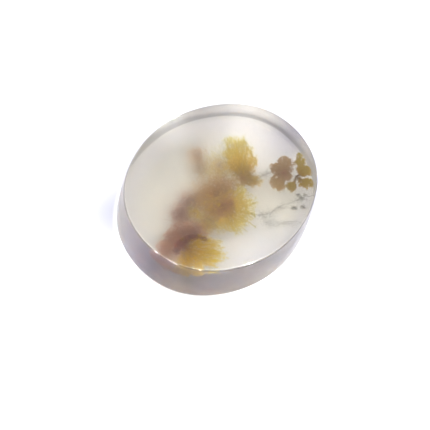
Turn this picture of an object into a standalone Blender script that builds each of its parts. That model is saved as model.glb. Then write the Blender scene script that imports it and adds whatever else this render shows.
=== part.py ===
"""Oval agate cabochon with a low domed face, leaning walls and a flat base.

The stone is one solid. Its origin is at the centre of the base, with the length along +X and the
face towards +Z. Everything is in metres.
"""

import math

import bmesh
import bpy

MM = 0.001

# Overall size of the cut stone
LENGTH = 20.0 * MM
WIDTH = 17.0 * MM
HEIGHT = 5.2 * MM

# The cross-section, with each inset measured inwards from the girdle, where the stone is widest
GIRDLE_HEIGHT = 0.60 * MM
BASE_INSET = 0.70 * MM
CROWN_INSET = 0.28 * MM
WALL_BULGE = 0.06 * MM
EDGE_ROUND = 0.20 * MM
FACE_RISE = 0.16 * MM

# Where the face's edge starts and ends, going up
EDGE_FOOT = HEIGHT - FACE_RISE - EDGE_ROUND
FACE_RIM = HEIGHT - FACE_RISE

# How late the wall leans in: 1 is a straight lean, and more keeps the wall upright for longer
LEAN_POWER = 1.5

# The hand-cut outline: (lobes round the stone, share of the radius, phase in degrees)
OUTLINE_WAVES = ((3, 0.0044, 4.0), (4, 0.0029, 147.0), (6, 0.0031, 162.0))

# Fineness of the mesh
OUTLINE_POINTS = 96
BASE_STEPS = 5
WALL_STEPS = 6
EDGE_STEPS = 4
FACE_STEPS = 6

# Finish
STONE_COLOUR = (0.80, 0.76, 0.69, 1.0)
STONE_ROUGHNESS = 0.08
STONE_IOR = 1.54
STONE_TRANSMISSION = 0.6


def clear_scene():
    """Removes whatever the open file holds."""
    for obj in list(bpy.data.objects):
        bpy.data.objects.remove(obj)


def unit_outline():
    """The outline as points whose sides run from -1 to 1, anticlockwise from +X."""
    points = []
    for index in range(OUTLINE_POINTS):
        angle = 2 * math.pi * index / OUTLINE_POINTS
        radius = 1.0
        for lobes, share, phase in OUTLINE_WAVES:
            radius += share * math.cos(lobes * angle - math.radians(phase))
        points.append((radius * math.cos(angle), radius * math.sin(angle)))
    fitted = []
    for axis in (0, 1):
        low = min(point[axis] for point in points)
        high = max(point[axis] for point in points)
        fitted.append([(2 * point[axis] - low - high) / (high - low) for point in points])
    return list(zip(*fitted))


def ring(inset, height):
    """A ring round the stone as (half length, half width, height)."""
    return (LENGTH / 2 - inset, WIDTH / 2 - inset, height)


def base_round():
    """Rings up the rounded lower edge, from the flat base to the girdle."""
    rings = []
    for step in range(BASE_STEPS + 1):
        turn = math.pi / 2 * step / BASE_STEPS
        inset = BASE_INSET * (1 - math.sin(turn))
        rings.append(ring(inset, GIRDLE_HEIGHT * (1 - math.cos(turn))))
    return rings


def wall():
    """Rings up the wall, which leans in and swells a little above its middle."""
    rings = []
    for step in range(1, WALL_STEPS + 1):
        share = step / WALL_STEPS
        lean = CROWN_INSET * share**LEAN_POWER
        swell = WALL_BULGE * share * math.sin(math.pi * share)
        rings.append(ring(lean - swell, GIRDLE_HEIGHT + (EDGE_FOOT - GIRDLE_HEIGHT) * share))
    return rings


def face_edge():
    """Rings round the polished edge between the wall and the face."""
    rings = []
    for step in range(1, EDGE_STEPS + 1):
        turn = math.pi / 2 * step / EDGE_STEPS
        inset = CROWN_INSET + EDGE_ROUND * (1 - math.cos(turn))
        rings.append(ring(inset, EDGE_FOOT + EDGE_ROUND * math.sin(turn)))
    return rings


def domed_face():
    """Rings over the face, which rises as a shallow dome and closes at its centre."""
    half_length, half_width, _ = ring(CROWN_INSET + EDGE_ROUND, FACE_RIM)
    rings = []
    for step in range(1, FACE_STEPS):
        share = 1 - step / FACE_STEPS
        rings.append((half_length * share, half_width * share, HEIGHT - FACE_RISE * share**2))
    return rings


def place_ring(face, outline, sizes):
    """Moves the corners of a face to the outline at the ring's size and height."""
    half_length, half_width, height = sizes
    for vert, point in zip(face.verts, outline):
        vert.co = (point[0] * half_length, point[1] * half_width, height)


def make_material():
    """Polished, milky and partly see-through."""
    material = bpy.data.materials.new("agate")
    material.use_nodes = True
    shader = material.node_tree.nodes["Principled BSDF"]
    shader.inputs["Base Color"].default_value = STONE_COLOUR
    shader.inputs["Roughness"].default_value = STONE_ROUGHNESS
    shader.inputs["IOR"].default_value = STONE_IOR
    shader.inputs["Transmission Weight"].default_value = STONE_TRANSMISSION
    return material


def make_stone(name, outline, rings):
    """The base face, extruded up through each ring and closed at the crest of the face."""
    bm = bmesh.new()
    bmesh.ops.create_circle(bm, cap_ends=True, radius=LENGTH / 2, segments=OUTLINE_POINTS)
    base = bm.faces[:][0]
    place_ring(base, outline, rings[0])
    cap = base
    for sizes in rings[1:]:
        raised = bmesh.ops.extrude_face_region(bm, geom=[cap])["geom"]
        if cap is not base:
            bm.faces.remove(cap)
        cap = next(part for part in raised if isinstance(part, bmesh.types.BMFace))
        place_ring(cap, outline, sizes)
    crest = bmesh.ops.poke(bm, faces=[cap])["verts"][0]
    crest.co = (0, 0, HEIGHT)
    bmesh.ops.recalc_face_normals(bm, faces=bm.faces)
    mesh = bpy.data.meshes.new(name)
    bm.to_mesh(mesh)
    bm.free()
    mesh.shade_smooth()
    stone = bpy.data.objects.new(name, mesh)
    stone.data.materials.append(make_material())
    bpy.context.scene.collection.objects.link(stone)
    return stone


def main():
    """Builds the stone from its base up."""
    clear_scene()
    rings = base_round() + wall() + face_edge() + domed_face()
    make_stone("agate_stone", unit_outline(), rings)


main()
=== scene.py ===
import itertools
import logging
import math
import random
from collections.abc import Iterator, Sequence
from dataclasses import dataclass, field, replace

import bpy
from mathutils import Euler, Matrix, Vector
from mathutils.kdtree import KDTree


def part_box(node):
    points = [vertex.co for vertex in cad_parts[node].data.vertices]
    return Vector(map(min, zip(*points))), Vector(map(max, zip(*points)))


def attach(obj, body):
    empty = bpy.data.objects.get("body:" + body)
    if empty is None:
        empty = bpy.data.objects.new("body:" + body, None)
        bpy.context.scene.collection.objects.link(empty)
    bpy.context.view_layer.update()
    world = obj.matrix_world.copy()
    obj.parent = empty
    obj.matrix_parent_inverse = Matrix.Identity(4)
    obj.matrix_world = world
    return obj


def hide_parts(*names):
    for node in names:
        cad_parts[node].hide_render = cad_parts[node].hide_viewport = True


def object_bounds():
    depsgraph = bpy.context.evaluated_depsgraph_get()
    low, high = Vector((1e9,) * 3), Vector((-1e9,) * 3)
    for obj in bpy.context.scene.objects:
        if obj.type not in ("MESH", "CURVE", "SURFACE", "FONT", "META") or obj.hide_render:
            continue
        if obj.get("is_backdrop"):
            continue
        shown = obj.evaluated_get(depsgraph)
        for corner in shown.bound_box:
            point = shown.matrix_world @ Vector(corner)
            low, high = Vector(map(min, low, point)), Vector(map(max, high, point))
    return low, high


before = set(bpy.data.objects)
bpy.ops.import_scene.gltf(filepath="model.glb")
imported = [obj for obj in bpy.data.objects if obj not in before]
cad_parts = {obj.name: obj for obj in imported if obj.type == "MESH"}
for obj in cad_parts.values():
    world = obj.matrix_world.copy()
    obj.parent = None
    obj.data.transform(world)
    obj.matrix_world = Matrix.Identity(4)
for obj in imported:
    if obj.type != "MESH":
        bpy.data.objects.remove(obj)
CAD_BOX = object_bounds()

MM = 0.001
STONE_NODE = "agate_stone"
BODY = "root"
REFRACTIVE_INDEX = 1.54

# How far growths stay from the surface: a share of the half width, then depths
WALL_MARGIN = 0.045
BASE_MARGIN = 0.10 * MM
FACE_MARGIN = 0.06 * MM

# How widely spots stray in a lobe, and how they fill it: 1/3 is even, and more gathers them inside
SPOT_STRAY = 0.48
FILL_POWER = 0.35

# The smallest and the largest grain, as shares of a growth's grain size
GRAIN_SIZES = (0.6, 1.4)

log = logging.getLogger("agate")

Pixel = tuple[float, float]
Shown = tuple[int, int, int]
Colour = tuple[float, float, float]


def linear(shown: Shown) -> Colour:
    """Turns a colour as a screen shows it into the linear one that a shader takes.

    Args:
        shown: Its red, green and blue, 0 to 255.

    Returns:
        The same colour in linear light, by the standard screen curve.
    """
    shares = [channel / 255 for channel in shown]
    return tuple(s / 12.92 if s <= 0.04045 else ((s + 0.055) / 1.055) ** 2.4 for s in shares)


class Socket:
    """An output socket on which shader maths is written as Python expressions."""

    def __init__(self, nodes: "Nodes", output: bpy.types.NodeSocket) -> None:
        """Wraps an output of a node.

        Args:
            nodes: The nodes among which the output's own node stands.
            output: The output socket.
        """
        self.nodes = nodes
        self.output = output

    def maths(self, operation: str, *values: "Socket | float", clamp: bool = False) -> "Socket":
        """Adds a Math node over the given values.

        Args:
            operation: The Math node's operation.
            values: Its inputs in order, as sockets or numbers.
            clamp: Whether the result is held between 0 and 1.

        Returns:
            The node's result.
        """
        settings = {"operation": operation, "use_clamp": clamp}
        return self.nodes.result(self.nodes.node("ShaderNodeMath", settings, *values))

    def __add__(self, other: "Socket | float") -> "Socket":
        """Adds."""
        return self.maths("ADD", self, other)

    def __radd__(self, other: float) -> "Socket":
        """Adds to a number."""
        return self.maths("ADD", other, self)

    def __sub__(self, other: "Socket | float") -> "Socket":
        """Takes away."""
        return self.maths("SUBTRACT", self, other)

    def __rsub__(self, other: float) -> "Socket":
        """Takes away from a number."""
        return self.maths("SUBTRACT", other, self)

    def __mul__(self, other: "Socket | float") -> "Socket":
        """Multiplies."""
        return self.maths("MULTIPLY", self, other)

    def __rmul__(self, other: float) -> "Socket":
        """Multiplies a number."""
        return self.maths("MULTIPLY", other, self)

    def clamped(self) -> "Socket":
        """Held between 0 and 1."""
        return self.maths("ADD", self, 0.0, clamp=True)


class Nodes:
    """A node tree, with the kinds of node that the materials and the light share."""

    def __init__(self, tree: bpy.types.NodeTree) -> None:
        """Takes the tree that the nodes stand in.

        Args:
            tree: The node tree.
        """
        self.tree = tree

    def node(
        self, kind: str, settings: dict[str, object] | None = None, *ordered: object, **named: object
    ) -> bpy.types.Node:
        """Adds a node of any type.

        Args:
            kind: The node's type.
            settings: The node's own settings, set first. A ramp's stops go under "stops".
            ordered: What its first input sockets hold, in order.
            named: What other input sockets hold, by the socket's name with _ for a space. Each value is
                a number, a tuple, a Vector or a Socket.

        Returns:
            The new node.
        """
        node = self.tree.nodes.new(kind)
        for name, value in (settings or {}).items():
            if name == "stops":
                self.set_stops(node, value)
            else:
                setattr(node, name, value)
        for slot, value in zip(node.inputs, ordered):
            self.fill(slot, value)
        for name, value in named.items():
            label = name.replace("_", " ")
            self.fill(next(slot for slot in node.inputs if slot.name == label and slot.enabled), value)
        return node

    def fill(self, slot: bpy.types.NodeSocket, value: object) -> None:
        """Links or sets an input socket.

        Args:
            slot: The input socket.
            value: The Socket to link, or the number, tuple or Vector that it holds.
        """
        if isinstance(value, Socket):
            self.tree.links.new(value.output, slot)
        elif isinstance(value, tuple) and len(value) == 3 and slot.type == "RGBA":
            slot.default_value = (*value, 1.0)
        else:
            slot.default_value = value

    @staticmethod
    def set_stops(node: bpy.types.Node, stops: Sequence[tuple[float, Colour]]) -> None:
        """Gives a colour ramp its stops.

        Args:
            node: The ramp node.
            stops: Places from 0 to 1 with their colours, in order.
        """
        elements = node.color_ramp.elements
        while len(elements) < len(stops):
            elements.new(1.0)
        for element, (place, colour) in zip(elements, stops):
            element.position = place
            element.color = (*colour, 1.0)

    def result(self, node: bpy.types.Node, name: str = "") -> Socket:
        """The enabled output of a node with a name, or the first one where no name is given."""
        return Socket(self, next(s for s in node.outputs if s.enabled and name in ("", s.name)))

    def parts(self, where: Socket) -> list[Socket]:
        """The x, y and z of coordinates."""
        node = self.node("ShaderNodeSeparateXYZ", None, where)
        return [self.result(node, axis) for axis in "XYZ"]

    def measure(self, operation: str, where: Socket, fixed: Vector) -> Socket:
        """Measures coordinates against a fixed vector: DISTANCE or DOT_PRODUCT."""
        node = self.node("ShaderNodeVectorMath", {"operation": operation}, where, fixed)
        return self.result(node, "Value")

    def spread(
        self, value: Socket, low: float, high: float, start: float | Socket = 0.0, end: float = 1.0
    ) -> Socket:
        """Eases a value from start to end as it runs from low to high.

        Args:
            value: The value.
            low: Where it starts.
            high: Where it ends.
            start: The result at low.
            end: The result at high.

        Returns:
            The eased value.
        """
        node = self.node(
            "ShaderNodeMapRange",
            {"interpolation_type": "SMOOTHSTEP"},
            Value=value,
            From_Min=low,
            From_Max=high,
            To_Min=start,
            To_Max=end,
        )
        return self.result(node, "Result")

    def mix(self, kind: str, factor: Socket, first: object, second: object) -> Socket:
        """Mixes two values of one kind.

        Args:
            kind: FLOAT or RGBA.
            factor: The share of the second value.
            first: The first value, as a Socket, a number or a colour.
            second: The second value.

        Returns:
            The mixed value.
        """
        node = self.node("ShaderNodeMix", {"data_type": kind}, Factor=factor, A=first, B=second)
        return self.result(node, "Result")


class Surface(Nodes):
    """The nodes of one material."""

    def __init__(self, name: str) -> None:
        """Makes a material with nothing but its output.

        Args:
            name: The material's name.
        """
        self.material = bpy.data.materials.new(name)
        self.material.use_nodes = True
        super().__init__(self.material.node_tree)
        self.tree.nodes.clear()
        self.output = self.node("ShaderNodeOutputMaterial")

    def place(self, stretch: tuple[float, float, float] = (1.0, 1.0, 1.0)) -> Socket:
        """Object coordinates, in millimetres.

        Args:
            stretch: How many times the pattern is finer along each axis.

        Returns:
            The coordinates.
        """
        coordinates = self.result(self.node("ShaderNodeTexCoord"), "Object")
        scale = tuple(factor / MM for factor in stretch)
        mapping = self.node("ShaderNodeMapping", {"vector_type": "POINT"}, Vector=coordinates, Scale=scale)
        return self.result(mapping, "Vector")

    def tinted(self, colour: Colour, light_and_shade_zones: "Sequence[Zone]", sight: "Sight") -> Colour | Socket:
        """Lays soft patches of painted shade and painted light over a colour.

        Args:
            colour: The colour between the patches.
            light_and_shade_zones: The patches.
            sight: The camera, which says where they lie.

        Returns:
            The patched colour.
        """
        across = self.place(stretch=(1.0, 1.0, 0.0))
        patched: Colour | Socket = colour
        for zone in light_and_shade_zones:
            centre = sight.inside(zone.centre, 0.0) / MM
            centre.z = 0.0
            near = self.spread(self.measure("DISTANCE", across, centre), zone.radius / MM, 0.0)
            patched = self.mix("RGBA", near, patched, zone.colour)
        return patched

    def from_axis(self, stone: "Stone") -> Socket:
        """How far out a place lies, where 1 is the stone's outline."""
        where = self.place(stretch=(MM / stone.half_length, MM / stone.half_width, 0.0))
        return self.measure("DISTANCE", where, Vector((0.0, 0.0, 0.0)))

    def finish(self, volume: bpy.types.Node | None = None, **looks: object) -> bpy.types.Material:
        """Adds the Principled shader and joins it to the output.

        Args:
            volume: The volume's last node, if the piece is see-through.
            looks: What the shader's inputs hold, as in node.

        Returns:
            The finished material.
        """
        shader = self.node("ShaderNodeBsdfPrincipled", None, **looks)
        self.fill(self.output.inputs["Surface"], self.result(shader))
        if volume:
            self.fill(self.output.inputs["Volume"], self.result(volume))
        return self.material


@dataclass(frozen=True)
class Sight:
    """Where the camera stands, and what its picture shows under a face at some height."""

    face: float
    azimuth: float = -60.65
    elevation: float = 60.0
    roll: float = 17.47
    distance: float = 107.5 * MM
    aim: tuple[float, float, float] = (-2.984 * MM, -1.888 * MM, 5.073 * MM)
    angle: float = 20.5
    picture: int = 430
    clip_near: float = 10 * MM
    clip_far: float = 5.0

    def axes(self) -> tuple[Vector, Vector, Vector]:
        """The way that the camera is turned.

        Returns:
            Its right, up and back as unit vectors.
        """
        azimuth = math.radians(self.azimuth)
        elevation = math.radians(self.elevation)
        level = math.cos(elevation)
        back = Vector((math.sin(azimuth) * level, -math.cos(azimuth) * level, math.sin(elevation)))
        right = Vector((math.cos(azimuth), math.sin(azimuth), 0.0))
        up = back.cross(right)
        lean = math.radians(self.roll)
        return (
            right * math.cos(lean) + up * math.sin(lean),
            up * math.cos(lean) - right * math.sin(lean),
            back,
        )

    def position(self) -> Vector:
        """Where the camera stands."""
        return Vector(self.aim) + self.axes()[2] * self.distance

    def ray(self, pixel: Pixel) -> Vector:
        """The way that the camera looks through a pixel.

        Args:
            pixel: The place in the picture, from its top left corner.

        Returns:
            The direction as a unit vector.
        """
        right, up, back = self.axes()
        half = self.picture / 2
        reach = half / math.tan(math.radians(self.angle / 2))
        across, down = pixel[0] - half, pixel[1] - half
        return (right * across - up * down - back * reach).normalized()

    def inside(self, pixel: Pixel, depth: float) -> Vector:
        """The point under the face that shows at a pixel once the face has bent the sight line.

        Args:
            pixel: The place in the picture.
            depth: How far below the face the point lies.

        Returns:
            The point inside the stone.
        """
        start = self.position()
        ray = self.ray(pixel)
        entry = start + ray * ((start.z - self.face) / -ray.z)
        bent = Vector((ray.x, ray.y, 0.0)) / REFRACTIVE_INDEX
        bent.z = -math.sqrt(1 - bent.length_squared)
        return entry + bent * (depth / -bent.z)

    def place_camera(self) -> None:
        """Makes the scene's camera."""
        data = bpy.data.cameras.new("camera")
        data.angle = math.radians(self.angle)
        data.clip_start = self.clip_near
        data.clip_end = self.clip_far
        camera = bpy.data.objects.new("camera", data)
        turned = Matrix(self.axes()).transposed().to_4x4()
        camera.matrix_world = Matrix.Translation(self.position()) @ turned
        bpy.context.scene.collection.objects.link(camera)
        bpy.context.scene.camera = camera


def settle(piece: bpy.types.Object, name: str, material: bpy.types.Material) -> None:
    """Names a finished piece, dresses it and hands it to the stone's body.

    Args:
        piece: The finished piece, at the origin.
        name: Its name.
        material: Its material.
    """
    piece.name = name
    piece.data.name = name
    piece.data.materials.clear()
    piece.data.materials.append(material)
    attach(piece, BODY)
    log.info("%s: %d triangles", name, sum(len(face.vertices) - 2 for face in piece.data.polygons))


@dataclass(frozen=True)
class Zone:
    """A soft patch of another tint: painted shade where it is darker, painted light where it is paler."""

    centre: Pixel
    radius: float
    colour: Colour


@dataclass(frozen=True)
class AgateFinish:
    """Polished chalcedony: see-through, with a milky haze that blurs what lies deep, and tints of painted
    shade and painted light.
    """

    body: Colour = (0.925, 0.91, 0.835)
    wall: Colour = (0.97, 0.97, 1.0)
    # Painted shade: a dark grey tint on the rounded edge, drawing a thin dark line round the face
    edge: Colour = (0.42, 0.41, 0.45)
    rim_shade: Colour = (0.84, 0.83, 0.88)
    # Patches of painted shade and painted light on the face and base, darkest along the far band on the
    # right
    light_and_shade_zones: tuple[Zone, ...] = (
        Zone((148, 195), 10.0 * MM, (0.80, 0.785, 0.73)), Zone((158, 148), 6.0 * MM, (0.66, 0.65, 0.61)),
        Zone((205, 115), 6.0 * MM, (0.70, 0.69, 0.67)), Zone((255, 145), 6.0 * MM, (1.0, 0.99, 0.97)),
        Zone((262, 248), 7.0 * MM, (0.90, 0.90, 0.91)), Zone((294, 130), 3.5 * MM, (0.50, 0.50, 0.58)),
    )
    # Patches of painted shade and painted light on the wall, darkest at the lower left
    wall_light_and_shade_zones: tuple[Zone, ...] = (
        Zone((142, 240), 6.0 * MM, (0.50, 0.47, 0.66)), Zone((225, 275), 5.0 * MM, (1.0, 0.985, 1.0)),
        Zone((158, 258), 2.6 * MM, (0.34, 0.32, 0.46)), Zone((170, 266), 2.4 * MM, (0.46, 0.42, 0.44)),
        Zone((188, 270), 2.4 * MM, (0.56, 0.52, 0.40)), Zone((292, 138), 4.0 * MM, (0.62, 0.60, 0.68)),
        Zone((165, 125), 4.0 * MM, (1.0, 1.0, 0.97)),
    )
    # The depth over which the wall's tint gives way to that of the face and of the base
    wall_fade: float = 0.3 * MM
    # Where the rounded edge starts, is full and ends, below the face
    edge_starts: float = 0.26 * MM
    edge_full: float = 0.16 * MM
    edge_ends: float = 0.06 * MM
    # Where the base is shaded: as shares of the way to the rim, and as heights
    shade_starts: float = 0.72
    shade_full: float = 0.93
    shade_top: float = 0.10 * MM
    shade_foot: float = 0.02 * MM
    transmission: float = 0.98
    roughness: float = 0.02
    edge_roughness: float = 0.09
    wall_roughness: float = 0.2
    haze_colour: Colour = (0.75, 0.85, 1.0)
    haze_density: float = 300.0
    haze_forward: float = 0.95
    stain_colour: Colour = (0.5, 0.47, 0.44)
    stain_density: float = 38.0

    def inner(self, surface: Surface) -> bpy.types.Node:
        """The haze and the weak stain inside the stone.

        Args:
            surface: The material's nodes.

        Returns:
            The volume's last node.
        """
        haze = surface.node(
            "ShaderNodeVolumeScatter",
            None,
            Color=self.haze_colour,
            Density=self.haze_density,
            Anisotropy=self.haze_forward,
        )
        stain = surface.node(
            "ShaderNodeVolumeAbsorption", None, Color=self.stain_colour, Density=self.stain_density
        )
        return surface.node("ShaderNodeAddShader", None, surface.result(haze), surface.result(stain))

    def material(self, sight: Sight, stone: "Stone") -> bpy.types.Material:
        """Builds the material.

        Args:
            sight: The camera, which says where the zones lie.
            stone: The stone, with its sizes.

        Returns:
            The material.
        """
        surface = Surface("polished_agate")
        height = surface.parts(surface.place())[2]
        face = sight.face
        top = face / MM
        below = surface.spread(height, top, (face - self.wall_fade) / MM)
        upright = below * surface.spread(height, 0.0, self.wall_fade / MM)
        # The face and the wall take their patches of painted shade and painted light
        flat = surface.tinted(self.body, self.light_and_shade_zones, sight)
        wall = surface.tinted(self.wall, self.wall_light_and_shade_zones, sight)
        outer = surface.spread(surface.from_axis(stone), self.shade_starts, self.shade_full)
        shaded = outer * surface.spread(height, self.shade_top / MM, self.shade_foot / MM)
        colour = surface.mix("RGBA", upright, surface.mix("RGBA", shaded, flat, self.rim_shade), wall)
        # The rounded edge band takes the painted shade of the edge tint, and a rougher polish
        above = surface.spread(height, (face - self.edge_starts) / MM, (face - self.edge_full) / MM)
        rounded = above * surface.spread(height, top, (face - self.edge_ends) / MM)
        ground = surface.spread(upright, 0.0, 1.0, self.roughness, self.wall_roughness)
        return surface.finish(
            self.inner(surface),
            Base_Color=surface.mix("RGBA", rounded, colour, self.edge),
            Roughness=surface.spread(rounded, 0.0, 1.0, ground, self.edge_roughness),
            IOR=REFRACTIVE_INDEX,
            Transmission_Weight=self.transmission,
        )


@dataclass
class Stone:
    """The cut and polished stone, from its flat base to its domed face."""

    girdle_height: float = 0.60 * MM
    base_inset: float = 0.70 * MM
    crown_inset: float = 0.28 * MM
    wall_bulge: float = 0.06 * MM
    edge_round: float = 0.20 * MM
    face_rise: float = 0.16 * MM
    lean_power: float = 1.5
    outline_points: int = 240
    base_steps: int = 10
    wall_steps: int = 16
    edge_steps: int = 8
    face_steps: int = 18
    # Lobes round the stone, share of the radius, and phase in degrees
    outline_waves: tuple[tuple[int, float, float], ...] = (
        (3, 0.0044, 4.0),
        (4, 0.0029, 147.0),
        (6, 0.0031, 162.0),
    )
    finish: AgateFinish = field(default_factory=AgateFinish)

    def __post_init__(self) -> None:
        """Takes the overall size from the frame."""
        low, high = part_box(STONE_NODE)
        self.half_length = (high[0] - low[0]) / 2
        self.half_width = (high[1] - low[1]) / 2
        self.height = high[2]
        self.face_rim = self.height - self.face_rise
        self.edge_foot = self.face_rim - self.edge_round

    def ring(self, inset: float, height: float) -> tuple[float, float, float]:
        """A ring round the stone as (half length, half width, height)."""
        return (self.half_length - inset, self.half_width - inset, height)

    def rings(self) -> list[tuple[float, float, float]]:
        """Follows the cross-section from the base up to the crest.

        Returns:
            Each ring up to the last one before the crest.
        """
        rings = []
        for step in range(self.base_steps + 1):
            turn = math.pi / 2 * step / self.base_steps
            inset = self.base_inset * (1 - math.sin(turn))
            rings.append(self.ring(inset, self.girdle_height * (1 - math.cos(turn))))
        for step in range(1, self.wall_steps + 1):
            share = step / self.wall_steps
            lean = self.crown_inset * share**self.lean_power
            swell = self.wall_bulge * share * math.sin(math.pi * share)
            rise = (self.edge_foot - self.girdle_height) * share
            rings.append(self.ring(lean - swell, self.girdle_height + rise))
        for step in range(1, self.edge_steps + 1):
            turn = math.pi / 2 * step / self.edge_steps
            inset = self.crown_inset + self.edge_round * (1 - math.cos(turn))
            rings.append(self.ring(inset, self.edge_foot + self.edge_round * math.sin(turn)))
        half_length, half_width, _ = rings[-1]
        for step in range(1, self.face_steps):
            share = 1 - step / self.face_steps
            height = self.height - self.face_rise * share**2
            rings.append((half_length * share, half_width * share, height))
        return rings

    def cut_outline(self, piece: bpy.types.Object) -> None:
        """Gives the oval the slight lobes of a stone ground by hand, and fits it to the frame's box.

        Args:
            piece: The stone as a true oval.
        """
        for vertex in piece.data.vertices:
            angle = math.atan2(vertex.co.y / self.half_width, vertex.co.x / self.half_length)
            radius = 1.0
            for lobes, share, phase in self.outline_waves:
                radius += share * math.cos(lobes * angle - math.radians(phase))
            vertex.co.x *= radius
            vertex.co.y *= radius
        for axis, half in ((0, self.half_length), (1, self.half_width)):
            low = min(vertex.co[axis] for vertex in piece.data.vertices)
            high = max(vertex.co[axis] for vertex in piece.data.vertices)
            for vertex in piece.data.vertices:
                vertex.co[axis] = (2 * vertex.co[axis] - low - high) / (high - low) * half

    def build(self, sight: Sight) -> None:
        """Extrudes the base up through every ring, closes the face and dresses the stone.

        Args:
            sight: The camera, which says where the stone's tints lie.
        """
        rings = self.rings()
        bpy.ops.object.select_all(action="DESELECT")
        bpy.ops.mesh.primitive_circle_add(
            vertices=self.outline_points, radius=1.0, fill_type="NGON", location=(0, 0, 0)
        )
        piece = bpy.context.object
        bpy.ops.object.mode_set(mode="EDIT")
        bpy.ops.mesh.select_all(action="SELECT")
        bpy.ops.transform.resize(value=(rings[0][0], rings[0][1], 1.0), center_override=(0, 0, 0))
        for below, above in zip(rings, rings[1:]):
            bpy.ops.mesh.extrude_region_move(
                TRANSFORM_OT_translate={"value": (0, 0, above[2] - below[2])}
            )
            bpy.ops.transform.resize(
                value=(above[0] / below[0], above[1] / below[1], 1.0),
                center_override=(0, 0, above[2]),
            )
        bpy.ops.mesh.poke()
        bpy.ops.mesh.select_all(action="SELECT")
        bpy.ops.mesh.normals_make_consistent(inside=False)
        bpy.ops.object.mode_set(mode="OBJECT")
        crest = min(piece.data.vertices, key=lambda vertex: vertex.co.xy.length)
        crest.co.z = self.height
        self.cut_outline(piece)
        bpy.ops.object.shade_smooth()
        settle(piece, "polished_stone", self.finish.material(sight, self))
        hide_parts(STONE_NODE)


@dataclass(frozen=True)
class PlumeFinish:
    """Iron and manganese stain, darker at the root of a plume than at its tips."""

    name: str
    root: Shown
    middle: Shown
    tip: Shown
    middle_at: float = 0.45
    mottle: float = 0.35
    mottle_scale: float = 3.5
    mottle_detail: float = 3.0
    roughness: float = 0.55

    def material(self) -> bpy.types.Material:
        """Builds the material, which follows the growth attribute from root to tip.

        Returns:
            The material.
        """
        surface = Surface(self.name)
        growth = surface.node("ShaderNodeAttribute", {"attribute_name": "growth"})
        noise = surface.node(
            "ShaderNodeTexNoise",
            None,
            Vector=surface.place(),
            Scale=self.mottle_scale,
            Detail=self.mottle_detail,
        )
        patches = surface.result(noise, "Fac") - 0.5
        along = (surface.result(growth, "Fac") + patches * self.mottle).clamped()
        places = (0.0, self.middle_at, 1.0)
        stops = tuple(zip(places, map(linear, (self.root, self.middle, self.tip))))
        ramp = surface.node("ShaderNodeValToRGB", {"stops": stops}, Fac=along)
        return surface.finish(Base_Color=surface.result(ramp, "Color"), Roughness=self.roughness)


@dataclass(frozen=True)
class Habit:
    """How a growth looks close up: its threads, and the fine grains that gather round them."""

    # Threads: how crooked, how thin they end, how close together and how far they stray
    wander: float = 0.25
    tip_radius: float = 0.020 * MM
    gap: float = 0.16 * MM
    ragged: float = 0.6
    # Grains: their size, how far they lie from a thread, how many, and how they favour the root
    grain: float = 0.036 * MM
    fuzz: float = 0.09 * MM
    grains: int = 9000
    gather: float = 1.0


FEATHERY = Habit()
DENSE = Habit(fuzz=0.11 * MM, grain=0.033 * MM, grains=13000, gather=0.6)
MOSSY = Habit(wander=0.4, gap=0.13 * MM, fuzz=0.07 * MM, grains=7400, gather=0.4, ragged=0.1)


@dataclass(frozen=True)
class Lobe:
    """A rounded lobe that a growth fills: its pixel in the photograph, and its real sizes in mm."""

    x: int
    y: int
    depth: float
    radius: float
    thickness: float
    stretch: float = 1.0
    turn: float = 0.0

    def middle(self, sight: Sight) -> Vector:
        """Where the lobe's centre lies in the stone."""
        return sight.inside((self.x, self.y), self.depth * MM)

    def spots(self, sight: Sight, count: int, ragged: float, dice: random.Random) -> Iterator[Vector]:
        """Spots that gather in the lobe and thin out past its edge, flattened across the face.

        Args:
            sight: The camera.
            count: How many spots.
            ragged: The share of them that may stray past the lobe's edge.
            dice: The source of chance.

        Yields:
            Each spot.
        """
        centre = self.middle(sight)
        radius = self.radius * MM
        right, up, _ = sight.axes()
        angle = math.radians(self.turn)
        along = (right * math.cos(angle) + up * math.sin(angle)).to_2d().normalized()
        across = Vector((-along.y, along.x))
        for _ in range(count):
            spot = strayed(Vector(), SPOT_STRAY, dice)
            if dice.random() > ragged:
                spot = spot.normalized() * dice.random() ** FILL_POWER
            level = along * spot.x * radius * self.stretch + across * spot.y * radius
            yield centre + Vector((level.x, level.y, spot.z * (self.thickness * MM)))

    def size(self) -> float:
        """The lobe's volume in cubic metres."""
        return 4 / 3 * math.pi * (self.radius * MM) ** 2 * self.stretch * (self.thickness * MM)


def strayed(place: Vector, spread: float, dice: random.Random) -> Vector:
    """A place moved by chance along each axis."""
    return place + Vector([dice.gauss(0, spread) for _ in range(3)])


@dataclass
class Thread:
    """One thread of a growth: its points, how thick it is at each, and how grown."""

    points: list[Vector]
    radii: list[float]
    growth: list[float]


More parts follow.
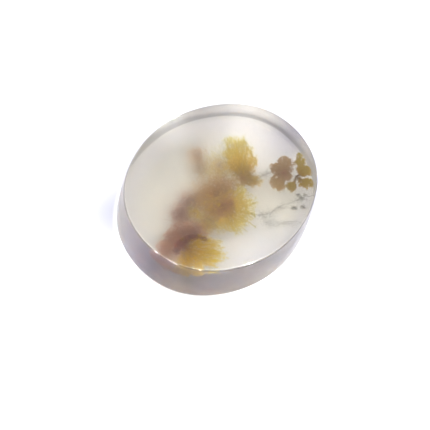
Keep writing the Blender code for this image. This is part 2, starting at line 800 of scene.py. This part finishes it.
@dataclass
class Plume:
    """A tuft of mineral threads that grew from a root and filled its lobes."""

    name: str
    root: Pixel
    root_depth: float
    lobes: tuple[Lobe, ...]
    finish: PlumeFinish
    habit: Habit = FEATHERY
    seed: int = 1
    step: float = 0.11 * MM
    most_rounds: int = 90
    thickening: float = 0.36
    bead: float = 1.45
    # The pointed tip: its length as a share of the last step, and its radius as one of a tip's
    point_reach: float = 0.45
    point_radius: float = 0.5
    # Grains choose a place by how far it is from being fully grown, which this keeps above nothing
    grain_bias: float = 1.02

    def grow(self, sight: Sight, dice: random.Random) -> tuple[list[Vector], list[int]]:
        """Grows from the root towards every spot of the lobes, a step at a time.

        Each spot pulls the nearest point of the plume, and is done when a thread comes close.

        Args:
            sight: The camera.
            dice: The source of chance.

        Returns:
            The plume's points, and the parent of each.
        """
        spots = []
        for lobe in self.lobes:
            count = round(lobe.size() / self.habit.gap**3)
            spots.extend(lobe.spots(sight, count, self.habit.ragged, dice))
        spots = [spot for spot in spots if buried(spot, sight.face)]
        points = [sight.inside(self.root, self.root_depth)]
        parents = [-1]
        for _ in range(self.most_rounds):
            tree = tree_of(points)
            pulls: dict[int, Vector] = {}
            waiting = []
            for spot in spots:
                near, index, distance = tree.find(spot)
                if distance > self.habit.gap:
                    waiting.append(spot)
                    pulls[index] = pulls.get(index, Vector()) + (spot - near) / distance
            spots = waiting
            if not pulls:
                break
            for index, pull in pulls.items():
                way = strayed(pull.normalized(), self.habit.wander, dice).normalized()
                points.append(points[index] + way * self.step)
                parents.append(index)
        return points, parents

    def threads(self, points: Sequence[Vector], parents: Sequence[int]) -> list[Thread]:
        """Splits the plume into threads, each running on from the thickest way out of a fork.

        Args:
            points: The plume's points.
            parents: The parent of each.

        Returns:
            The threads, thick at the root and beaded at their tips.
        """
        tips = [0] * len(points)
        children: list[list[int]] = [[] for _ in points]
        for index in range(len(points) - 1, -1, -1):
            tips[index] = max(1, tips[index])
            if parents[index] >= 0:
                tips[parents[index]] += tips[index]
                children[parents[index]].append(index)
        reach = [0.0] * len(points)
        for index in range(1, len(points)):
            reach[index] = reach[parents[index]] + self.step
        longest = max(reach)
        radii = [self.habit.tip_radius * count**self.thickening for count in tips]
        starts = [(0, 0)]
        threads = []
        while starts:
            before, index = starts.pop()
            chain = [before, index] if before != index else [index]
            while children[index]:
                ways = sorted(children[index], key=lambda child: -tips[child])
                starts.extend((index, child) for child in ways[1:])
                index = ways[0]
                chain.append(index)
            if len(chain) < 2:
                continue
            thread = Thread(
                [points[i] for i in chain],
                [radii[i] for i in chain],
                [reach[i] / longest for i in chain],
            )
            thread.radii[0] = thread.radii[1]
            thread.radii[-1] = self.habit.tip_radius * self.bead
            end = thread.points[-1] + (thread.points[-1] - thread.points[-2]) * self.point_reach
            thread.points.append(end)
            thread.radii.append(self.habit.tip_radius * self.point_radius)
            thread.growth.append(thread.growth[-1])
            threads.append(thread)
        return threads

    def build(self, sight: Sight) -> None:
        """Makes the threads one mesh and the grains round them another, and dresses both.

        Args:
            sight: The camera.
        """
        dice = random.Random(self.seed)
        threads = self.threads(*self.grow(sight, dice))
        material = self.finish.material()
        settle(tubes(threads), self.name, material)
        spots = [(p, g) for thread in threads for p, g in zip(thread.points, thread.growth)]
        weights = [(self.grain_bias - growth) ** self.habit.gather for _, growth in spots]
        grains = []
        for point, growth in dice.choices(spots, weights, k=self.habit.grains):
            place = strayed(point, self.habit.fuzz, dice)
            grains.append((place, growth, self.habit.grain * dice.uniform(*GRAIN_SIZES)))
        settle(grain_mesh(grains, sight.face, dice), self.name + "_grains", material)


def buried(place: Vector, face: float) -> bool:
    """Whether a place lies inside the stone, well clear of its face, wall and base.

    Args:
        place: The place.
        face: The height of the stone's face.

    Returns:
        Whether it lies inside.
    """
    across = math.hypot(place.x / CAD_BOX[1][0], place.y / CAD_BOX[1][1])
    return across < 1 - WALL_MARGIN and BASE_MARGIN < place.z < face - FACE_MARGIN


def tree_of(points: Sequence[Vector]) -> KDTree:
    """Sorts points so that the nearest one is quick to find.

    Args:
        points: The points.

    Returns:
        The sorted tree.
    """
    tree = KDTree(len(points))
    for index, point in enumerate(points):
        tree.insert(point, index)
    tree.balance()
    return tree


def tubes(threads: Sequence[Thread]) -> bpy.types.Object:
    """Makes one mesh of tapered tubes, with the growth of each point as an attribute.

    Args:
        threads: The threads.

    Returns:
        The new object.
    """
    curve = bpy.data.curves.new("tubes", "CURVE")
    curve.dimensions = "3D"
    curve.bevel_depth = 1.0
    curve.bevel_resolution = 1
    curve.use_fill_caps = True
    for thread in threads:
        spline = curve.splines.new("POLY")
        spline.points.add(len(thread.points) - 1)
        spline.points.foreach_set("co", [c for point in thread.points for c in (*point, 1.0)])
        spline.points.foreach_set("radius", thread.radii)
    piece = bpy.data.objects.new("tubes", curve)
    bpy.context.scene.collection.objects.link(piece)
    bpy.ops.object.select_all(action="DESELECT")
    bpy.context.view_layer.objects.active = piece
    piece.select_set(True)
    bpy.ops.object.convert(target="MESH")
    piece = bpy.context.object
    bpy.ops.object.shade_smooth()
    tree = tree_of([point for thread in threads for point in thread.points])
    known = [value for thread in threads for value in thread.growth]
    growth = piece.data.attributes.new("growth", "FLOAT", "POINT")
    growth.data.foreach_set("value", [known[tree.find(v.co)[1]] for v in piece.data.vertices])
    return piece


def grain_mesh(
    grains: Sequence[tuple[Vector, float, float]], face: float, dice: random.Random
) -> bpy.types.Object:
    """Makes one mesh of many eight-sided grains.

    Args:
        grains: The place, growth and radius of each grain.
        face: The height of the stone's face, which no grain breaks.
        dice: The source of chance.

    Returns:
        The new object.
    """
    corners = [Vector(c) for c in ((1, 0, 0), (-1, 0, 0), (0, 1, 0), (0, -1, 0), (0, 0, 1), (0, 0, -1))]
    sides = itertools.product((0, 1), (2, 3), (4, 5))
    sides = [side if outward(corners, side) else side[::-1] for side in sides]
    vertices: list[Vector] = []
    polygons: list[tuple[int, ...]] = []
    growth: list[float] = []
    for place, value, radius in grains:
        if not buried(place, face):
            continue
        turn = Euler([dice.uniform(0, math.pi) for _ in range(3)]).to_matrix() * radius
        first = len(vertices)
        vertices.extend(place + turn @ corner for corner in corners)
        polygons.extend(tuple(first + c for c in side) for side in sides)
        growth.extend([value] * len(corners))
    mesh = bpy.data.meshes.new("grains")
    mesh.from_pydata(vertices, [], polygons)
    values = mesh.attributes.new("growth", "FLOAT", "POINT")
    values.data.foreach_set("value", growth)
    piece = bpy.data.objects.new("grains", mesh)
    bpy.context.scene.collection.objects.link(piece)
    return piece


def outward(corners: Sequence[Vector], side: tuple[int, int, int]) -> bool:
    """Whether a side of a shape round the origin faces outwards."""
    a, b, c = (corners[index] for index in side)
    return (b - a).cross(c - a).dot(a + b + c) > 0


@dataclass
class Smoke:
    """Fine mineral dust, as soft patches that are densest at their centres."""

    name: str
    lobes: tuple[Lobe, ...]
    finish: PlumeFinish
    density: float = 900.0
    ragged: float = 1.0
    grain: float = 0.032 * MM
    seed: int = 1

    def build(self, sight: Sight) -> None:
        """Scatters the grains, joined in one mesh, and dresses them.

        Args:
            sight: The camera.
        """
        dice = random.Random(self.seed)
        grains = []
        for lobe in self.lobes:
            centre = lobe.middle(sight)
            count = round(lobe.size() / MM**3 * self.density)
            for spot in lobe.spots(sight, count, self.ragged, dice):
                reach = (spot - centre).length / (lobe.radius * MM)
                grains.append((spot, min(1.0, reach), self.grain * dice.uniform(*GRAIN_SIZES)))
        settle(grain_mesh(grains, sight.face, dice), self.name, self.finish.material())


GOLD = PlumeFinish("golden_stain", (158, 114, 58), (226, 194, 62), (224, 216, 108), 0.4)
AMBER = PlumeFinish("amber_stain", (122, 64, 28), (206, 164, 8), (230, 214, 76), 0.4)
OLIVE = PlumeFinish("olive_stain", (112, 76, 30), (176, 138, 34), (196, 176, 72), 0.3)
OCHRE = PlumeFinish("ochre_stain", (128, 90, 50), (158, 112, 56), (186, 140, 76))
BROWN = PlumeFinish("brown_stain", (158, 106, 58), (200, 152, 86), (214, 180, 116))
UMBER = PlumeFinish("umber_stain", (130, 94, 58), (178, 142, 90), (204, 174, 116))
MAUVE = PlumeFinish("mauve_stain", (142, 78, 60), (174, 114, 86), (204, 154, 116), 0.5)
RUST = PlumeFinish("rust_stain", (92, 28, 26), (108, 44, 34), (140, 78, 52), 0.5)
GREY = PlumeFinish("grey_stain", (124, 120, 114), (148, 146, 140), (168, 166, 158))


@dataclass
class Vein:
    """A thin grey thread that follows a healed crack."""

    name: str
    route: tuple[Pixel, ...]
    depth: float
    radius: float = 0.024 * MM
    thickness: tuple[float, float] = (0.5, 1.3)
    growth: float = 0.5
    wander: float = 0.02 * MM
    steps: int = 8
    seed: int = 1
    finish: PlumeFinish = GREY

    def build(self, sight: Sight) -> None:
        """Draws the thread through its places, a little crooked.

        Args:
            sight: The camera.
        """
        dice = random.Random(self.seed)
        points = []
        for start, end in zip(self.route, self.route[1:]):
            for step in range(self.steps):
                share = step / self.steps
                pixel = tuple(a + (b - a) * share for a, b in zip(start, end))
                points.append(strayed(sight.inside(pixel, self.depth), self.wander, dice))
        radii = [self.radius * dice.uniform(*self.thickness) for _ in points]
        thread = Thread(points, radii, [self.growth] * len(points))
        settle(tubes([thread]), self.name, self.finish.material())


GROWTHS = (
    Plume("plume_upper", (243, 178), 2.0 * MM, (
        Lobe(229, 141, 1.3, 0.45, 0.3), Lobe(235, 142, 1.3, 0.52, 0.3), Lobe(242, 143, 1.2, 0.52, 0.3),
        Lobe(248, 150, 1.3, 0.45, 0.3), Lobe(228, 154, 1.4, 0.45, 0.3), Lobe(252, 161, 1.4, 0.45, 0.3),
        Lobe(238, 155, 1.5, 1.1, 0.45), Lobe(241, 166, 1.7, 1.1, 0.5), Lobe(246, 178, 2.0, 0.75, 0.4),
        Lobe(255, 181, 1.9, 0.50, 0.3),
    ), GOLD, DENSE, seed=3),
    Plume("plume_right", (284, 174), 1.6 * MM, (
        Lobe(285, 163, 1.3, 0.75, 0.3), Lobe(276, 169, 1.3, 0.62, 0.3), Lobe(284, 174, 1.4, 0.80, 0.3),
        Lobe(277, 183, 1.3, 0.75, 0.3), Lobe(279, 188, 1.2, 0.38, 0.3),
    ), UMBER, MOSSY, seed=5),
    Plume("plume_rim", (296, 177), 1.3 * MM, (
        Lobe(300, 162, 0.9, 0.54, 0.25), Lobe(299, 156, 0.9, 0.34, 0.2),
        Lobe(304, 171, 0.9, 0.58, 0.25, stretch=1.25, turn=-5),
        Lobe(306, 183, 0.9, 0.52, 0.25, stretch=1.4, turn=10), Lobe(291, 187, 1.0, 0.50, 0.25),
    ), OLIVE, MOSSY, seed=7),
    Plume("plume_middle", (222, 207), 2.0 * MM, (
        Lobe(222, 207, 1.9, 1.2, 0.5), Lobe(240, 203, 1.8, 1.1, 0.5), Lobe(251, 203, 1.7, 0.50, 0.3),
        Lobe(250, 213, 1.7, 0.55, 0.3), Lobe(243, 218, 1.8, 0.95, 0.4), Lobe(236, 227, 1.9, 0.75, 0.4),
        Lobe(225, 222, 2.0, 0.95, 0.4), Lobe(241, 192, 1.6, 0.60, 0.3),
    ), GOLD, seed=11),
    Plume("plume_near", (184, 247), 1.0 * MM, (
        Lobe(200, 243, 0.9, 0.65, 0.35, stretch=1.3, turn=10), Lobe(212, 247, 0.8, 0.80, 0.35),
        Lobe(217, 256, 0.8, 0.70, 0.35), Lobe(205, 257, 0.9, 0.95, 0.4), Lobe(211, 263, 0.9, 0.45, 0.3),
        Lobe(192, 254, 1.1, 1.0, 0.5), Lobe(187, 260, 1.6, 0.70, 0.6), Lobe(199, 265, 1.2, 0.50, 0.5),
    ), AMBER, DENSE, seed=17),
    Smoke("smoke_brown", (
        Lobe(221, 190, 2.3, 1.9, 0.5), Lobe(207, 197, 2.6, 1.5, 0.5), Lobe(217, 208, 2.2, 1.6, 0.5),
        Lobe(208, 222, 2.4, 1.2, 0.5),
    ), BROWN, seed=21),
    Smoke("smoke_veil", (
        Lobe(217, 195, 1.6, 1.5, 0.2), Lobe(224, 206, 1.5, 1.2, 0.2), Lobe(214, 211, 1.7, 1.1, 0.2),
        Lobe(242, 178, 1.4, 0.6, 0.2, stretch=1.5),
    ), BROWN, density=600.0, seed=35),
    Smoke("smoke_core", (
        Lobe(222, 208, 1.5, 0.9, 0.2), Lobe(230, 204, 1.5, 0.6, 0.2), Lobe(284, 174, 1.1, 0.5, 0.15),
    ), MAUVE, density=1300.0, seed=22),
    Smoke("smoke_mauve", (
        Lobe(192, 203, 3.2, 1.4, 0.5), Lobe(181, 215, 3.0, 1.2, 0.5),
    ), MAUVE, density=720.0, seed=23),
    Smoke("smoke_dome", (
        Lobe(175, 241, 1.6, 1.3, 0.3), Lobe(183, 234, 1.6, 1.3, 0.3), Lobe(195, 233, 1.6, 1.2, 0.3),
        Lobe(169, 250, 1.6, 1.0, 0.3), Lobe(180, 247, 1.6, 1.0, 0.3), Lobe(165, 248, 1.7, 0.8, 0.3),
    ), MAUVE, density=1550.0, ragged=0.5, seed=27),
    Smoke("smoke_arc", (
        Lobe(177, 250, 0.75, 0.40, 0.15, stretch=1.4, turn=70),
        Lobe(180, 245, 0.75, 0.48, 0.15, stretch=1.4, turn=55),
        Lobe(184, 241, 0.75, 0.44, 0.15, stretch=1.4, turn=40),
        Lobe(190, 238, 0.75, 0.38, 0.15, stretch=1.5, turn=20),
        Lobe(197, 237, 0.75, 0.34, 0.15, stretch=1.5),
        Lobe(203, 239, 0.75, 0.28, 0.15, stretch=1.5, turn=-25),
    ), RUST, density=3600.0, ragged=0.4, seed=29),
    Smoke("smoke_grey", (
        Lobe(264, 214, 2.2, 0.55, 0.2, stretch=2.4, turn=12),
        Lobe(280, 208, 2.2, 0.40, 0.2, stretch=3.0, turn=25),
        Lobe(299, 200, 1.6, 0.30, 0.2, stretch=3.0, turn=18),
        Lobe(288, 223, 2.2, 0.35, 0.2, stretch=5.0, turn=2),
        Lobe(269, 223, 2.4, 0.60, 0.2, stretch=1.6, turn=-30),
        Lobe(266, 174, 1.4, 0.42, 0.2, stretch=2.2, turn=20),
    ), GREY, density=480.0, seed=31),
    Vein("vein_long", ((259, 215), (270, 213), (282, 205), (290, 203), (303, 197), (316, 195)), 1.8 * MM),
    Vein("vein_low", ((275, 227), (283, 222), (292, 221), (300, 222), (306, 226)), 2.0 * MM, seed=2),
    Vein("vein_twig", ((256, 181), (262, 176), (268, 173), (275, 170)), 1.4 * MM, seed=3),
    Smoke("smoke_specks", (
        Lobe(294, 208, 0.9, 0.22, 0.1, stretch=1.4, turn=10),
        Lobe(303, 207, 0.9, 0.18, 0.1, stretch=1.6, turn=-8),
        Lobe(301, 198, 0.9, 0.22, 0.1, stretch=1.5, turn=8),
        Lobe(298, 195, 0.9, 0.16, 0.1, stretch=1.5, turn=8),
        Lobe(305, 195, 0.9, 0.14, 0.1, stretch=1.5, turn=8),
    ), GREY, density=7000.0, seed=33),
    Smoke("smoke_far", (
        Lobe(202, 168, 3.0, 1.2, 0.4), Lobe(197, 155, 3.0, 1.2, 0.4),
    ), BROWN, density=450.0, seed=24),
    Smoke("smoke_low", (
        Lobe(172, 254, 1.8, 0.9, 0.4), Lobe(181, 258, 1.9, 0.8, 0.4),
    ), OCHRE, density=1500.0, seed=39),
    Smoke("smoke_spot", (
        Lobe(195, 214, 1.7, 0.7, 0.3, stretch=1.3, turn=-30),
    ), GOLD, density=420.0, seed=37),
    Smoke("smoke_gold", (
        Lobe(219, 166, 2.4, 1.4, 0.4, stretch=1.3, turn=80),
        Lobe(235, 146, 1.8, 1.1, 0.3, stretch=1.3, turn=20), Lobe(207, 227, 1.6, 0.8, 0.3),
    ), GOLD, density=500.0, seed=25),
)


@dataclass(frozen=True)
class Glint:
    """A narrow lamp that the polished edge mirrors at a place in the photograph.

    The tilt is how far up the edge faces there, and the width is the lamp's own, both in degrees.
    """

    seen_at: Pixel
    strength: float
    tilt: float = 48.0
    width: float = 1.2
    patch: float = 0.4 * MM


@dataclass
class Studio:
    """The white card that the stone lies on, the soft light above it and the view's settings."""

    card_radius: float = 100 * MM
    card_drop: float = 0.02 * MM
    card_sides: int = 96
    card_roughness: float = 0.9
    # Painted light: the card is paler under the stone, and darker and bluish round it
    card_painted_light: Colour = (0.97, 0.97, 0.97)
    card_outside: Colour = (0.62, 0.625, 0.72)
    # The shares of the stone's half sizes between which the painted light under the stone gives way to the
    # darker card
    card_darkens: float = 0.98
    card_dark: float = 1.06
    # A painted shadow on the card, to the left of the stone
    card_painted_shadow: Zone = Zone((108, 215), 5.0 * MM, (0.43, 0.435, 0.50))
    overhead: float = 7.0
    horizon: float = 0.5
    light_starts: float = 30.0
    light_full: float = 80.0
    flag_strength: float = 0.08
    flag_core: float = 16.0
    flag_edge: float = 34.0
    backdrop: float = 1.0
    lamp_distance: float = 60 * MM
    lamp_blend: float = 0.5
    near_glints: tuple[Glint, ...] = (
        Glint((157, 251), 36.0), Glint((173, 260), 80.0), Glint((198, 268), 34.0),
        Glint((209, 270), 22.0), Glint((225, 270), 44.0), Glint((251, 265), 22.0),
    )
    far_glints: tuple[Pixel, ...] = ((160, 127), (168, 122), (177, 118), (241, 105), (251, 107))
    far_strength: float = 40.0
    far_tilt: float = 76.0
    far_width: float = 2.0
    far_patch: float = 1.3 * MM
    left_glint: Glint = Glint((143, 152), 30.0, 76.0, 1.5, 0.8 * MM)
    light_bounces: int = 32
    volume_bounces: int = 16

    def glints(self) -> Iterator[Glint]:
        """Goes round the edge, from the near glints to the far ones.

        Yields:
            Each glint.
        """
        yield from self.near_glints
        for place in self.far_glints:
            yield Glint(place, self.far_strength, self.far_tilt, self.far_width, self.far_patch)
        yield self.left_glint

    def lay_card(self, sight: Sight, stone: Stone) -> None:
        """Lays the pale floor, painted brightest right under the stone and with a painted shadow on one
        side of it.

        Args:
            sight: The camera, which says where the painted shadow lies.
            stone: The stone that lies on the card.
        """
        bpy.ops.object.select_all(action="DESELECT")
        bpy.ops.mesh.primitive_circle_add(
            vertices=self.card_sides,
            radius=self.card_radius,
            fill_type="NGON",
            location=(0, 0, -self.card_drop),
        )
        card = bpy.context.object
        card.name = "white_card"
        surface = Surface("white_card")
        outside = surface.tinted(self.card_outside, (self.card_painted_shadow,), replace(sight, face=0.0))
        # Painted light under the stone, giving way to the darker, bluish card round it
        outwards = surface.spread(surface.from_axis(stone), self.card_darkens, self.card_dark)
        colour = surface.mix("RGBA", outwards, self.card_painted_light, outside)
        card.data.materials.append(surface.finish(Base_Color=colour, Roughness=self.card_roughness))
        card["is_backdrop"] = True

    def light(self, sight: Sight) -> None:
        """A wide soft light overhead, with a dark flag where the face would mirror it.

        Args:
            sight: The camera, opposite which the flag hangs.
        """
        world = bpy.data.worlds.new("soft_light")
        world.use_nodes = True
        sky = Nodes(world.node_tree)
        way = sky.result(sky.node("ShaderNodeTexCoord"), "Generated")
        height = sky.parts(way)[2]
        low, high = (math.sin(math.radians(angle)) for angle in (self.light_starts, self.light_full))
        fade = sky.spread(height, low, high, self.horizon, self.overhead)
        back = sight.axes()[2]
        mirrored = sky.measure("DOT_PRODUCT", way, Vector((-back.x, -back.y, back.z)))
        edge, core = (math.cos(math.radians(angle)) for angle in (self.flag_edge, self.flag_core))
        flag = sky.spread(mirrored, edge, core, 1.0, self.flag_strength)
        seen = sky.result(sky.node("ShaderNodeLightPath"), "Is Camera Ray")
        background = world.node_tree.nodes["Background"]
        sky.fill(background.inputs["Color"], (1.0, 1.0, 1.0))
        sky.fill(background.inputs["Strength"], sky.mix("FLOAT", seen, fade * flag, self.backdrop))
        bpy.context.scene.world = world

    def hang_lamps(self, sight: Sight, stone: Stone) -> None:
        """Hangs each small lamp where the edge mirrors it.

        Args:
            sight: The camera.
            stone: The stone whose edge mirrors the lamps.
        """
        for index, glint in enumerate(self.glints()):
            spot = sight.inside(glint.seen_at, 0.0)
            out = Vector((spot.x / stone.half_length**2, spot.y / stone.half_width**2, 0.0)).normalized()
            tilt = math.radians(glint.tilt)
            normal = out * math.cos(tilt) + Vector((0.0, 0.0, math.sin(tilt)))
            view = (sight.position() - spot).normalized()
            towards = 2 * normal.dot(view) * normal - view
            lamp = bpy.data.lights.new(f"lamp_{index}", "SPOT")
            lamp.shadow_soft_size = self.lamp_distance * math.tan(math.radians(glint.width / 2))
            lamp.energy = glint.strength * 4 * math.pi * self.lamp_distance**2
            lamp.spot_size = 2 * math.atan(glint.patch / self.lamp_distance)
            lamp.spot_blend = self.lamp_blend
            holder = bpy.data.objects.new(lamp.name, lamp)
            holder.location = spot + towards * self.lamp_distance
            holder.rotation_euler = towards.to_track_quat("Z", "Y").to_euler()
            bpy.context.scene.collection.objects.link(holder)
            log.info("%s stands %.0f degrees up", lamp.name, math.degrees(math.asin(towards.z)))

    def set_view(self) -> None:
        """Colours as measured, and enough bounces for a see-through stone."""
        scene = bpy.context.scene
        scene.view_settings.view_transform = "Standard"
        scene.cycles.use_denoising = True
        for kind in ("max", "transmission", "glossy", "diffuse"):
            setattr(scene.cycles, f"{kind}_bounces", self.light_bounces)
        scene.cycles.volume_bounces = self.volume_bounces

    def build(self, sight: Sight, stone: Stone) -> None:
        """Sets up the floor, the light and the view.

        Args:
            sight: The camera.
            stone: The stone.
        """
        self.lay_card(sight, stone)
        self.light(sight)
        self.hang_lamps(sight, stone)
        self.set_view()


def write_sizes() -> None:
    """Works out the frame's box and the finished model's box as plain lists."""
    boxes = {"cad": CAD_BOX, "visual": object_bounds()}
    plain = {name: [list(map(float, corner)) for corner in box] for name, box in boxes.items()}


def main() -> None:
    """Builds the stone, what grew in it and the studio round it."""
    logging.basicConfig(level=logging.INFO, format="%(message)s")
    stone = Stone()
    sight = Sight(stone.face_rim)
    sight.place_camera()
    stone.build(sight)
    Studio().build(sight, stone)
    for growth in GROWTHS:
        growth.build(sight)
    write_sizes()


if __name__ == "__main__":
    main()
